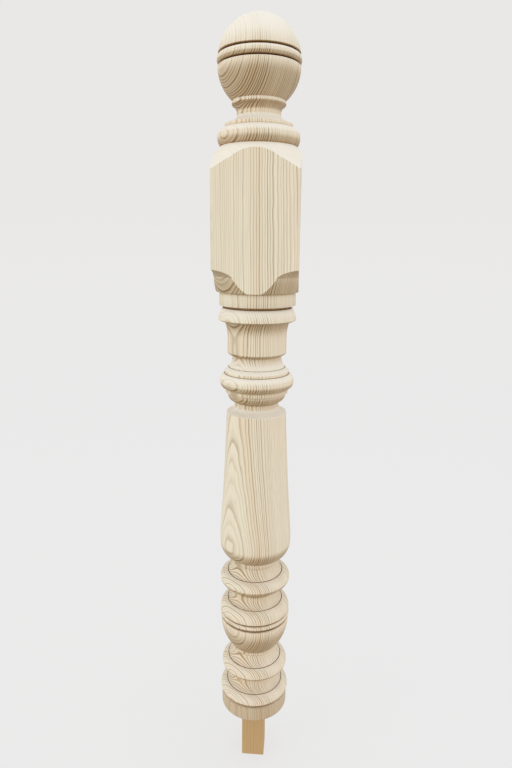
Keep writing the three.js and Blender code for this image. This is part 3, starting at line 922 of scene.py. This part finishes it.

# %% [markdown]
# The rest of the colour is made of layers. The early wood drifts between a cool and a warm
# white over a hand's width. Fine fibres run along the stick. A real fibre is a thirtieth of a
# millimetre wide, too fine to show, so they are drawn about a millimetre wide. Painted shade
# makes the surfaces that look down a little browner, and the drum at the foot too, next to the
# floor. Painted light whitens what looks up: a little on the lower rings, and so much on the
# block's shoulders and the ball that it nearly hides their rings. Painted shade also darkens
# the inner corners: a dark brown line in the bottom of each groove, and a faint brown veil deep
# in the hollows.
#
# Bare sanded wood is matt. The hard late wood is a little smoother and stands a few hundredths
# of a millimetre proud, because sandpaper wears the soft early wood faster.

# %% The pine material
FIBRE_WIDTH = 0.9
FIBRE_LENGTH = 45.0
FIBRE_DETAIL = 3.0
FIBRE_REACH = (0.2, 0.8)
FIBRE_TONES = (0.92, 1.05)
FIBRE_RELIEF = 0.5
DRIFT = (9.0, 9.0, 3.0)
DRIFT_REACH = (0.35, 0.65)
CORNER_SAMPLES = 8
# Painted shade: a dark brown line in the bottom of each groove and quirk.
GROOVE_SHADE_REACH = 3.0
GROOVE_SHADE_TONES = [(0.1, "#3E2612"), (0.33, "#87603B"), (0.58, "#DEC9AC"), (0.8, "#FFFFFF")]
# Painted shade: a faint brown veil deep in the hollows, weaker on what looks up.
HOLLOW_SHADE_REACH = 24.0
HOLLOW_SHADE_TONES = [(0.2, "#94703F"), (0.5, "#CFB48A"), (0.82, "#FFFFFF")]
HOLLOW_SHADE_FACING = (0.0, 0.5)
HOLLOW_SHADE_ON_TOPS = 0.45
# Painted light: a pale tint on what looks up, more of it higher up the post.
PAINTED_TOP_LIGHT = "#F5F1E8"
LEAST_TOP_LIGHT = 0.1
MOST_TOP_LIGHT = 0.8
TOP_LIGHT_FROM = 250.0
TOP_LIGHT_TO = 600.0
# Painted shade: surfaces that look down, and the drum next to the floor, are made browner.
UNDERSIDE_SHADE_REACH = (0.0, 0.3)
FLOOR_SHADE = 0.85
FLOOR_SHADE_FROM = 23.0
FLOOR_SHADE_TO = 25.0
BUMP_STRENGTH = 0.6
SOFT_ROUGHNESS = 0.6
HARD_ROUGHNESS = 0.48
WOOD_IOR = 1.5
WOOD_SPECULAR = 0.45


def painted_corner_shade(tree, reach, tones):
    """A painted shade for a place that other wood closes in, within a reach in millimetres."""
    open_sky = add(tree, "ShaderNodeAmbientOcclusion", {"Distance": reach * MM},
                   samples=CORNER_SAMPLES, only_local=True)
    return ramp_of(tree, open_sky.outputs["AO"], tones)


def pine(name, heart, widths, wander, seed, early, late, underside, strengths, tints, relief):
    """A bare pine round the given heart. Early is a cool and a warm white."""
    material = bpy.data.materials.new(name)
    material.use_nodes = True
    tree = material.node_tree
    tree.nodes.clear()
    coordinates = add(tree, "ShaderNodeTexCoord")
    place = coordinates.outputs["Object"]
    facing = coordinates.outputs["Normal"]
    upward = height_of(tree, facing)
    downward = maths(tree, "MULTIPLY", upward, -1.0)
    height = height_of(tree, place)

    outward, radius, season, weather = growth_rings(tree, place, heart, widths, wander, seed)
    strength = by_radius(tree, radius, strengths)
    late_share = late_wood(tree, facing, outward, season, weather, strength)

    drift = blend(tree, noise(tree, place, DRIFT, seed=seed), DRIFT_REACH)
    early_wood = mix(tree, drift, linear(early[0]), linear(early[1]))
    colour = mix(tree, late_share, early_wood, linear(late))
    colour = mix(tree, 1.0, colour, by_radius(tree, radius, tints), "MULTIPLY")
    # Painted shade: browner on the drum next to the floor and on what looks down.
    painted_floor_shade = blend(tree, height, (FLOOR_SHADE_FROM * MM, FLOOR_SHADE_TO * MM), FLOOR_SHADE, 0.0)
    painted_shade_below = maths(tree, "MAXIMUM", blend(tree, downward, UNDERSIDE_SHADE_REACH), painted_floor_shade)
    colour = mix(tree, painted_shade_below, colour, mix(tree, 1.0, colour, linear(underside), "MULTIPLY"))

    across = 1 / (FIBRE_WIDTH * MM)
    fibre = noise(tree, place, (across, across, 1 / (FIBRE_LENGTH * MM)), FIBRE_DETAIL)
    fibre_tone = blend(tree, fibre, FIBRE_REACH, *FIBRE_TONES)
    colour = mix(tree, 1.0, colour, fibre_tone, "MULTIPLY")
    # Painted shade: a brown veil deep in the hollows, by how closed in they are.
    hollow_shaded = mix(tree, 1.0, colour, painted_corner_shade(tree, HOLLOW_SHADE_REACH, HOLLOW_SHADE_TONES), "MULTIPLY")
    colour = mix(tree, blend(tree, upward, HOLLOW_SHADE_FACING, 1.0, HOLLOW_SHADE_ON_TOPS), colour, hollow_shaded)
    # Painted light: what looks up is whitened, more towards the top of the post.
    top_light_by_height = blend(tree, height, (TOP_LIGHT_FROM * MM, TOP_LIGHT_TO * MM), LEAST_TOP_LIGHT, MOST_TOP_LIGHT)
    painted_top_light_share = maths(tree, "MULTIPLY", blend(tree, upward, UPRIGHT_TO_UP), top_light_by_height)
    colour = mix(tree, painted_top_light_share, colour, linear(PAINTED_TOP_LIGHT))
    # Painted shade: a dark brown line in the inner corners and groove bottoms.
    colour = mix(tree, 1.0, colour, painted_corner_shade(tree, GROOVE_SHADE_REACH, GROOVE_SHADE_TONES), "MULTIPLY")

    proud = maths(tree, "MULTIPLY_ADD", fibre, FIBRE_RELIEF, late_share)
    bump = add(tree, "ShaderNodeBump", {
        "Height": proud, "Strength": BUMP_STRENGTH, "Distance": relief * MM})
    roughness = blend(tree, late_share, (0.0, 1.0), SOFT_ROUGHNESS, HARD_ROUGHNESS)
    shader = add(tree, "ShaderNodeBsdfPrincipled", {
        "Base Color": colour, "Roughness": roughness, "Normal": bump.outputs[0],
        "IOR": WOOD_IOR, "Specular IOR Level": WOOD_SPECULAR})
    add(tree, "ShaderNodeOutputMaterial", {"Surface": shader.outputs[0]})
    return material


# The underside colour is the tint of the painted shade on what looks down and on the drum.
sanded_pine = pine(
    "sanded_redwood_pine", heart=(heart_foot, heart_lean, heart_crook), widths=(6.5, 0.0104),
    wander=7.0, seed=3.0, early=("#F0EAD9", "#F1E5D3"), late="#9F895C", underside="#D8CDBE",
    strengths=[(355, 0.75), (376, 0.75), (384, 0.9), (397, 0.9), (404, 0.5), (440, 0.38)],
    tints=[(355, "#FFFFFF"), (390, "#FFFFFF"), (395, "#FDF7F0"), (400, "#FFFFFF"),
           (440, "#FBFBF8")],
    relief=0.04)
post.data.materials.clear()
post.data.materials.append(sanded_pine)
print("sanded pine on", post.name)

# %% [markdown]
# ## Sawn pine
#
# The peg comes from another, browner stick, and was sawn and planed but never sanded. Its rings
# run another way, so its heart lies elsewhere.

# %% Sawn pine
peg_heart = Vector((-120.0, 60.0, 0.0)) * MM
upright = Vector((0.0, 0.0, 0.0))
# A white underside tint puts no painted shade on the peg.
sawn_pine = pine(
    "sawn_brown_pine", heart=(peg_heart, upright, upright), widths=(3.4, 0.006),
    wander=3.0, seed=8.0, early=("#CBAE80", "#C9A97A"), late="#A5804F", underside="#FFFFFF",
    strengths=[(90, 0.6), (190, 0.6)], tints=[(90, "#FFFFFF"), (190, "#FFFFFF")], relief=0.08)
peg.data.materials.clear()
peg.data.materials.append(sawn_pine)
print("sawn pine on", peg.name)

# %% [markdown]
# ## The studio
#
# The post stands on its peg on a plain pale floor. A floor that ends shows a horizon, so it is
# one big shallow bowl: flat in the middle and curved up all round into a wall, and every view
# ends in the same pale tone. The bowl isn't part of the object. Light that bounces off a bright
# floor would flatten the undersides of the mouldings, so the bowl is kept out of the diffuse
# bounces, and the soft light from below comes from the world instead, warmer and dimmer.

# %% Floor
FLOOR_RADIUS = 3.0
FLOOR_SIDES = 96
COVE_RADIUS = 1.2
COVE_STEPS = 12
WALL_TOP = 5.0

start_alone()
bpy.ops.mesh.primitive_circle_add(vertices=FLOOR_SIDES, radius=FLOOR_RADIUS, fill_type="NGON",
                                  location=(0, 0, 0))
bpy.ops.object.mode_set(mode="EDIT")
bpy.ops.transform.translate(value=(0, 0, PEG_BOTTOM * MM))
for step in range(COVE_STEPS):
    lower = math.radians(90) * step / COVE_STEPS
    upper = math.radians(90) * (step + 1) / COVE_STEPS
    inner = FLOOR_RADIUS + COVE_RADIUS * math.sin(lower)
    outer = FLOOR_RADIUS + COVE_RADIUS * math.sin(upper)
    rise = COVE_RADIUS * (math.cos(lower) - math.cos(upper))
    if step == 0:
        bpy.ops.mesh.select_all(action="SELECT")
        bpy.ops.mesh.region_to_loop()
    bpy.ops.mesh.extrude_edges_move(TRANSFORM_OT_translate={"value": (0, 0, rise)})
    bpy.ops.transform.resize(value=(outer / inner, outer / inner, 1), center_override=(0, 0, 0))
bpy.ops.mesh.extrude_edges_move(TRANSFORM_OT_translate={"value": (0, 0, WALL_TOP)})
floor = name_piece("studio_floor")
bpy.ops.object.shade_smooth()
floor.visible_diffuse = False
floor.visible_shadow = False
print("floor radius in metres:", FLOOR_RADIUS)

# %% [markdown]
# The paper of the bowl is thin and lit from behind as well, as on a photographer's light table.
# So it is evenly pale from the foot of the picture to its top, and the post's shade on it is
# only faint.

# %% Floor material
PAPER = "#767676"
PAPER_ROUGHNESS = 0.9
PAPER_GLOW = "#FFFFFF"
PAPER_GLOW_STRENGTH = 0.66

paper = bpy.data.materials.new("pale_studio_paper")
paper.use_nodes = True
paper.node_tree.nodes.clear()
paper_shader = add(paper.node_tree, "ShaderNodeBsdfPrincipled", {
    "Base Color": linear(PAPER), "Roughness": PAPER_ROUGHNESS, "Specular IOR Level": 0.0,
    "Emission Color": linear(PAPER_GLOW), "Emission Strength": PAPER_GLOW_STRENGTH})
add(paper.node_tree, "ShaderNodeOutputMaterial", {"Surface": paper_shader.outputs[0]})
floor.data.materials.append(paper)
print("floor papered")

# %% [markdown]
# ## Light
#
# A photographer's tent lights the post from everywhere: brightest from its walls, cooler from
# above, and dimmer and warmer from below, where the light comes back from the ground. That is
# the world here. One big soft light above adds the direction: it whitens every surface that
# looks up and leaves those that look down in shade, which is what brings out the mouldings. It
# hangs a little to the right, and a weak light from the left makes the left edges brighter.

# %% Lights
LIGHT_TARGET = (0, 0, 0.5)
TOP_PLACE = (0.5, -0.35, 2.9)
TOP_SIZE = 1.4
TOP_POWER = 7.0
TOP_COLOUR = "#E4F0FF"
FILL_PLACE = (-2.4, -1.6, 1.2)
FILL_SIZE = 1.6
FILL_POWER = 9.0
FILL_COLOUR = "#FFFFFF"


def soft_light(name, place, size, power, colour):
    """A square area light, turned to the post. Places and sizes are in metres."""
    start_alone()
    bpy.ops.object.light_add(type="AREA", location=place)
    lamp = bpy.context.object
    lamp.name = name
    lamp.data.shape = "SQUARE"
    lamp.data.size = size
    lamp.data.energy = power
    lamp.data.color = linear(colour)[:3]
    aim = Vector(LIGHT_TARGET) - Vector(place)
    lamp.rotation_euler = aim.to_track_quat("-Z", "Y").to_euler()
    print(name, "at", place, "with", power, "W")


soft_light("top_softbox", TOP_PLACE, TOP_SIZE, TOP_POWER, TOP_COLOUR)
soft_light("left_fill", FILL_PLACE, FILL_SIZE, FILL_POWER, FILL_COLOUR)

# %% World light
TENT_BELOW = "#8A7A6A"
TENT_WALLS = "#FAF3E4"
TENT_ABOVE = "#D8DBE0"
TENT_STRENGTH = 1.1

world = bpy.data.worlds.new("studio_world")
bpy.context.scene.world = world
world.use_nodes = True
sky_tree = world.node_tree
sky_tree.nodes.clear()
direction = add(sky_tree, "ShaderNodeTexCoord").outputs["Generated"]
share = maths(sky_tree, "MULTIPLY_ADD", height_of(sky_tree, direction), 0.5, 0.5)
sky = ramp_of(sky_tree, share, [(0.0, TENT_BELOW), (0.5, TENT_WALLS), (1.0, TENT_ABOVE)])
glow = add(sky_tree, "ShaderNodeBackground", {"Color": sky, "Strength": TENT_STRENGTH})
add(sky_tree, "ShaderNodeOutputWorld", {"Surface": glow.outputs[0]})
bpy.context.scene.view_settings.view_transform = "Standard"
print("world lit")

# %% [markdown]
# ## The camera
#
# The photograph was taken from the height of the block, tilted down, and close: the mouldings
# curve strongly and the post narrows downwards. Those curves fix the camera. How fast the rings'
# ellipses open from the block to the floor, and how fast the post narrows, give its height, its
# distance and its tilt. The post's size in the picture then gives the lens.

# %% Camera
LENS = 26.866
SENSOR_WIDTH = 36.0
CAMERA_DISTANCE = 848.5
CAMERA_HEIGHT = 774.9
CAMERA_TILT = math.radians(13.87)
CAMERA_TURN = math.radians(4.5)
CAMERA_ROLL = math.radians(0.4817)
AXIS_OFFSET = 1.0

camera_data = bpy.data.cameras.new("photo_camera")
camera_data.lens = LENS
camera_data.sensor_width = SENSOR_WIDTH
camera = bpy.data.objects.new("photo_camera", camera_data)
bpy.context.collection.objects.link(camera)
stand = Vector((-AXIS_OFFSET, -CAMERA_DISTANCE, CAMERA_HEIGHT)) * MM
turned = Matrix.Rotation(CAMERA_TURN, 4, "Z")
camera.matrix_world = (turned @ Matrix.Translation(stand)
                       @ Matrix.Rotation(math.radians(90) - CAMERA_TILT, 4, "X")
                       @ Matrix.Rotation(CAMERA_ROLL, 4, "Z"))
bpy.context.scene.camera = camera
print("camera at", [round(value, 3) for value in camera.matrix_world.translation])
